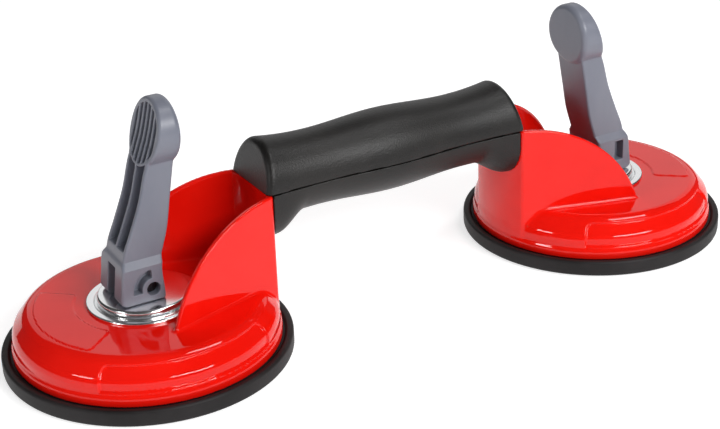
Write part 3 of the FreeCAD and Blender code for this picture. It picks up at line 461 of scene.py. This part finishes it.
def grip_lower_form(x, y, z):
    radius = grip_radius(x)
    flare = ease((np.abs(x) - FLARE_START) / FLARE_LENGTH)
    drop = radius - GRIP_RISE + FLARE_DEPTH * flare
    power = 2 + FLARE_SQUARENESS * flare
    across, down = np.abs(y) / radius, np.abs(z - WALL_TOP) / drop
    form = ((across ** power + down ** power + 1e-9) ** (1 / power) - 1) * radius
    cup = np.hypot(np.abs(x) - CUP_X, y) - SHELL_RADIUS - 0.1
    form = common(form, -cup, 0.5)
    form = common(form, z - WALL_TOP + PARTING, 0.45)
    for place in SCREW_PLACES:
        well = common(np.hypot(x - place, y) - SCREW_WELL[0], z - SCREW_WELL[1], 0.3)
        form = common(form, -well, 0.6)
    return common(form, np.abs(x) - LOWER_END, 0.3)


# --------------------------------------------------------------------------------------- materials
def principled(name, colour, roughness, metallic=0.0):
    """New material with its shader, and a shorthand for adding nodes."""
    made = bpy.data.materials.new(name)
    made.use_nodes = True
    nodes = made.node_tree.nodes
    links = made.node_tree.links
    shader = nodes["Principled BSDF"]
    shader.inputs["Base Color"].default_value = (*colour, 1)
    shader.inputs["Roughness"].default_value = roughness
    shader.inputs["Metallic"].default_value = metallic
    return made, nodes, links, shader


def texture(nodes, links, kind, scale, stretch=(1, 1, 1), **values):
    """A procedural texture over the piece's own coordinates."""
    place = nodes.new("ShaderNodeTexCoord")
    mapping = nodes.new("ShaderNodeMapping")
    mapping.inputs["Scale"].default_value = stretch
    made = nodes.new(kind)
    made.inputs["Scale"].default_value = scale
    for name, value in values.items():
        made.inputs[name.replace("_", " ")].default_value = value
    links.new(place.outputs["Object"], mapping.inputs["Vector"])
    links.new(mapping.outputs["Vector"], made.inputs["Vector"])
    return made


def blend_colours(nodes, links, factor, first, last, low=0.35, high=0.65):
    """Colour ramp between two colours, driven by a texture."""
    ramp = nodes.new("ShaderNodeValToRGB")
    ramp.color_ramp.elements[0].position = low
    ramp.color_ramp.elements[1].position = high
    ramp.color_ramp.elements[0].color = (*first, 1)
    ramp.color_ramp.elements[1].color = (*last, 1)
    links.new(factor, ramp.inputs["Fac"])
    return ramp.outputs["Color"]


def spread(nodes, links, factor, low, high):
    """Values from low to high, driven by a texture."""
    made = nodes.new("ShaderNodeMapRange")
    made.inputs["To Min"].default_value = low
    made.inputs["To Max"].default_value = high
    links.new(factor, made.inputs["Value"])
    return made.outputs["Result"]


def bump(nodes, links, shader, layers):
    """Adds relief; layers are (texture output, height in metres)."""
    previous = None
    for output, height in layers:
        made = nodes.new("ShaderNodeBump")
        made.inputs["Strength"].default_value = 1.0
        made.inputs["Distance"].default_value = height
        links.new(output, made.inputs["Height"])
        if previous:
            links.new(previous.outputs["Normal"], made.inputs["Normal"])
        previous = made
    links.new(previous.outputs["Normal"], shader.inputs["Normal"])


def red_paint():
    made, nodes, links, shader = principled("red_paint", (0.82, 0.007, 0.003), 0.4)
    shader.inputs["Specular IOR Level"].default_value = 0.0
    shader.inputs["Coat Weight"].default_value = 1.0
    shader.inputs["Coat Roughness"].default_value = 0.03
    shader.inputs["Coat IOR"].default_value = 1.39
    peel = texture(nodes, links, "ShaderNodeTexNoise", 260, Detail=1.5, Roughness=0.4)
    cloud = texture(nodes, links, "ShaderNodeTexNoise", 30, Detail=3.0)
    links.new(blend_colours(nodes, links, cloud.outputs["Fac"], (0.79, 0.006, 0.002),
                            (0.86, 0.009, 0.004)), shader.inputs["Base Color"])
    links.new(spread(nodes, links, cloud.outputs["Fac"], 0.02, 0.05),
              shader.inputs["Coat Roughness"])
    bump(nodes, links, shader, [(peel.outputs["Fac"], 0.000012)])
    return made


def black_rubber():
    made, nodes, links, shader = principled("black_rubber", (0.012, 0.01, 0.0105), 0.55)
    shader.inputs["Specular IOR Level"].default_value = 0.28
    grain = texture(nodes, links, "ShaderNodeTexNoise", 2600, Detail=3.0)
    cloud = texture(nodes, links, "ShaderNodeTexNoise", 60, Detail=4.0)
    links.new(blend_colours(nodes, links, cloud.outputs["Fac"], (0.008, 0.0065, 0.0068),
                            (0.017, 0.0145, 0.015)), shader.inputs["Base Color"])
    links.new(spread(nodes, links, cloud.outputs["Fac"], 0.46, 0.66), shader.inputs["Roughness"])
    bump(nodes, links, shader, [(grain.outputs["Fac"], 0.00006), (cloud.outputs["Fac"], 0.0001)])
    return made


def black_plastic():
    made, nodes, links, shader = principled("black_plastic", (0.0075, 0.0064, 0.0057), 0.42)
    shader.inputs["Specular IOR Level"].default_value = 0.4
    grain = texture(nodes, links, "ShaderNodeTexVoronoi", 1300)
    fine = texture(nodes, links, "ShaderNodeTexNoise", 2000, Detail=4.0)
    cloud = texture(nodes, links, "ShaderNodeTexNoise", 45, Detail=4.0)
    links.new(blend_colours(nodes, links, cloud.outputs["Fac"], (0.0045, 0.0038, 0.0034),
                            (0.0105, 0.009, 0.008)), shader.inputs["Base Color"])
    links.new(spread(nodes, links, cloud.outputs["Fac"], 0.37, 0.47), shader.inputs["Roughness"])
    bump(nodes, links, shader, [(grain.outputs["Distance"], 0.00006),
                                (fine.outputs["Fac"], 0.0001)])
    return made


def grey_plastic():
    made, nodes, links, shader = principled("grey_plastic", (0.175, 0.185, 0.23), 0.34)
    grain = texture(nodes, links, "ShaderNodeTexNoise", 2400, Detail=4.0)
    cloud = texture(nodes, links, "ShaderNodeTexNoise", 70, (1, 1, 0.35), Detail=4.0)
    links.new(blend_colours(nodes, links, cloud.outputs["Fac"], (0.165, 0.175, 0.218),
                            (0.19, 0.2, 0.242)), shader.inputs["Base Color"])
    links.new(spread(nodes, links, cloud.outputs["Fac"], 0.32, 0.44), shader.inputs["Roughness"])
    bump(nodes, links, shader, [(grain.outputs["Fac"], 0.00003)])
    return made


def chrome():
    made, nodes, links, shader = principled("chrome", (0.86, 0.87, 0.88), 0.07, 1.0)
    haze = texture(nodes, links, "ShaderNodeTexNoise", 90, Detail=5.0)
    scratch = texture(nodes, links, "ShaderNodeTexNoise", 900, (1, 0.04, 1), Detail=2.0)
    links.new(spread(nodes, links, haze.outputs["Fac"], 0.12, 0.26), shader.inputs["Roughness"])
    bump(nodes, links, shader, [(scratch.outputs["Fac"], 0.000004)])
    return made


def steel(name, dark, light):
    made, nodes, links, shader = principled(name, light, 0.3, 1.0)
    brushed = texture(nodes, links, "ShaderNodeTexNoise", 700, (1, 1, 0.05), Detail=3.0)
    links.new(spread(nodes, links, brushed.outputs["Fac"], 0.22, 0.4), shader.inputs["Roughness"])
    links.new(blend_colours(nodes, links, brushed.outputs["Fac"], dark, light),
              shader.inputs["Base Color"])
    bump(nodes, links, shader, [(brushed.outputs["Fac"], 0.00002)])
    return made


def paint(obj, material):
    obj.data.materials.clear()
    obj.data.materials.append(material)


RED, RUBBER, BLACK, GREY, CHROME = (
    red_paint(), black_rubber(), black_plastic(), grey_plastic(), chrome())
STEEL = steel("steel", (0.48, 0.49, 0.5), (0.62, 0.63, 0.64))
# Near-black steel for the pivot pins: painted shade, standing for the dark of the deep holes in which
# the pins sit.
DARK_STEEL = steel("dark_steel", (0.02, 0.02, 0.022), (0.05, 0.05, 0.055))


# ------------------------------------------------------------------------------------------ pieces
def stand_for(made, node, body, material):
    """Puts a finished piece in the place of a CAD node."""
    paint(made, material)
    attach(made, body)
    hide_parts(node)


def suction_disc(name, side):
    """Flat rubber disc with a raised rim and a groove in which the shell stands."""
    rim = DISC_RADIUS
    groove = SEAT - 0.3
    outline = rounded([
        (AXIS, 1.0, 0), (rim - 12, 0.5, 2), (rim - 8, 0.0, 2), (rim, 0.0, 1.2), (rim, DISC_RIM, 1.3),
        (57.3, DISC_RIM - 0.4, 0.8), (56.2, groove, 0.3), (51.6, groove, 0.4),
        (49.4, BOSS_FOOT, 0.5), (AXIS, BOSS_FOOT, 0),
    ])
    return lathe(name, outline, side)


def rubber_boss(name, side):
    """The rubber's middle, which the core draws up; its foot stays in the disc."""
    top, foot = BOSS_RADII
    root = BOSS_FOOT - 0.9
    well = BOSS_TOP - 1.2
    outline = rounded([
        (AXIS, root, 0), (foot, root, 0), (foot, BOSS_FOOT, 0.2), (top, BOSS_TOP, 0.8),
        (STEM_WELL, BOSS_TOP, 0.3), (STEM_WELL, well, 0.2), (AXIS, well, 0),
    ])
    return lathe(name, outline, side)


def disc_spring(name, side):
    """Stack of disc springs that touch by turns at their inner and outer edges."""
    outer, inner = [], []
    for fold in range(SPRING_FOLDS + 1):
        height = SPRING_FOOT + (SPRING_HEAD - SPRING_FOOT) * fold / SPRING_FOLDS
        radius = SPRING_RADIUS if fold % 2 else SPRING_BORE + SPRING_EDGE
        outer.append((radius, height))
        inner.append((radius - SPRING_EDGE, height))
    return lathe(name, outer + inner[::-1], side)


def wear_plate(name, side):
    """Raised disc with a centre hole on a stepped flange, with a groove between the two."""
    bore, disc = 5.1, 19.3
    under = PLATE_TOP - 1.5
    flange = DECK + 1.25
    groove = DECK + 0.5
    outline = rounded([
        (bore, under, 0.2), (disc - 1.5, under, 0.3), (disc - 1.5, DECK, 0.1),
        (PLATE_RADIUS, DECK, 0.15), (PLATE_RADIUS, flange, 0.6), (disc + 1.5, flange, 0.7),
        (disc + 0.8, groove, 0.5), (disc, groove, 0.45), (disc, PLATE_TOP, 1.3),
        (bore, PLATE_TOP, 0.3),
    ])
    return lathe(name, outline, side)


SHELL_STEP, LEVER_STEP, GRIP_STEP = 0.7, 0.38, 0.8     # grid steps of the three meshes


def make_cup(hand, side):
    shell = at_cup(f"shell_skin_{hand}", SHELL_MESH, side)
    stand_for(shell, f"shell_{hand}", "lifter_body", RED)
    disc = suction_disc(f"rubber_{hand}", side)
    stand_for(disc, f"suction_disc_{hand}", "lifter_body", RUBBER)
    boss = rubber_boss(f"boss_{hand}", side)
    paint(boss, RUBBER)
    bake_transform(boss)
    spring = disc_spring(f"spring_{hand}", side)
    stand_for(spring, f"return_spring_{hand}", "lifter_body", STEEL)
    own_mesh(spring)
    plate = wear_plate(f"plate_{hand}", side)
    stand_for(plate, f"wear_plate_{hand}", "lifter_body", CHROME)
    lever = at_cup(f"lever_skin_{hand}", LEVER_MESH, side)
    stand_for(lever, f"lever_{hand}", f"lever_arm_{hand}", GREY)


def make_handle():
    for name, form, node in (("grip_upper", grip_upper_form, "handle_upper"),
                             ("grip_lower", grip_lower_form, "handle_lower")):
        low, high = extent(node)
        made = piece(name, *form_mesh(form, low, high, GRIP_STEP))
        stand_for(made, node, "lifter_body", BLACK)


SHELL_MESH = form_mesh(shell_form, (-57, -57, SEAT), (80, 57, WALL_TOP), SHELL_STEP)
LEVER_MESH = form_mesh(lever_form, (-15.5, -14.5, 27.5), (18, 14.5, LEVER_TOP + 0.5), LEVER_STEP)
for hand, side in SIDES:
    make_cup(hand, side)
make_handle()
# The other CAD nodes are painted steel; the pivot pins get the near-black steel, which is painted shade
# for their deep holes.
for node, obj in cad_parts.items():
    if not obj.hide_render:
        paint(obj, DARK_STEEL if node.startswith("pivot_pin") else STEEL)


# ------------------------------------------------------------------------------------------- stage
CAMERA_LENS = 78.71
CAMERA_ANGLES = (-29.03, 25.0, -2.06)          # azimuth, elevation and roll, degrees
CAMERA_PLACE = (-0.3120, -0.5411, 0.3236)      # metres
MIDDLE = (0, 0, 0.04)                          # what the lights face


def make_floor():
    size = 6.0
    corners = [(-size, -size, 0), (size, -size, 0), (size, size, 0), (-size, size, 0)]
    mesh = bpy.data.meshes.new("floor")
    mesh.from_pydata(corners, [], [(0, 1, 2, 3)])
    floor = bpy.data.objects.new("floor", mesh)
    floor.location.z = -0.0005
    bpy.context.scene.collection.objects.link(floor)
    made, nodes, links, shader = principled("floor", (0.62, 0.62, 0.62), 0.9)
    shader.inputs["Specular IOR Level"].default_value = 0.0
    shader.inputs["Emission Color"].default_value = (1, 1, 1, 1)
    shader.inputs["Emission Strength"].default_value = 0.71
    cloud = texture(nodes, links, "ShaderNodeTexNoise", 3, Detail=2.0)
    links.new(blend_colours(nodes, links, cloud.outputs["Fac"], (0.61, 0.61, 0.61),
                            (0.63, 0.63, 0.63)), shader.inputs["Base Color"])
    paint(floor, made)


def make_light(name, place, target, width, height, power):
    """Rectangular softbox at place, facing target; width is level and height is across it."""
    data = bpy.data.lights.new(name, "AREA")
    data.shape = "RECTANGLE"
    data.size = width
    data.size_y = height
    data.energy = power
    light = bpy.data.objects.new(name, data)
    light.location = place
    light.rotation_euler = (Vector(target) - Vector(place)).to_track_quat("-Z", "Y").to_euler()
    bpy.context.scene.collection.objects.link(light)


def make_world():
    world = bpy.data.worlds.new("studio")
    world.use_nodes = True
    world.node_tree.nodes["Background"].inputs["Color"].default_value = (1, 1, 1, 1)
    world.node_tree.nodes["Background"].inputs["Strength"].default_value = 0.06
    bpy.context.scene.world = world


def make_camera():
    data = bpy.data.cameras.new("camera")
    data.lens = CAMERA_LENS
    data.sensor_width = 36.0
    camera = bpy.data.objects.new("camera", data)
    azimuth, elevation, roll = (math.radians(angle) for angle in CAMERA_ANGLES)
    back = Vector((math.sin(azimuth) * math.cos(elevation), -math.cos(azimuth) * math.cos(elevation),
                   math.sin(elevation)))
    right = Vector((math.cos(azimuth), math.sin(azimuth), 0))
    up = back.cross(right)
    level = math.cos(roll) * right + math.sin(roll) * up
    upright = math.cos(roll) * up - math.sin(roll) * right
    turn = Matrix((level, upright, back)).transposed().to_4x4()
    camera.matrix_world = Matrix.Translation(Vector(CAMERA_PLACE)) @ turn
    bpy.context.scene.collection.objects.link(camera)
    bpy.context.scene.camera = camera


make_floor()
make_world()
bpy.context.scene.view_settings.view_transform = "Standard"
make_light("strip", (0.60, -0.26, 1.50), (0.60, 0, 0.04), 0.62, 0.2, 6)
make_light("key", (0.33, -1.60, 1.14), MIDDLE, 1.2, 0.4, 29)
make_light("side", (-1.83, -0.32, 0.77), MIDDLE, 0.55, 0.18, 6.5)
make_light("backdrop", (1.14, 1.98, 1.22), MIDDLE, 3.5, 1.8, 16)
make_camera()
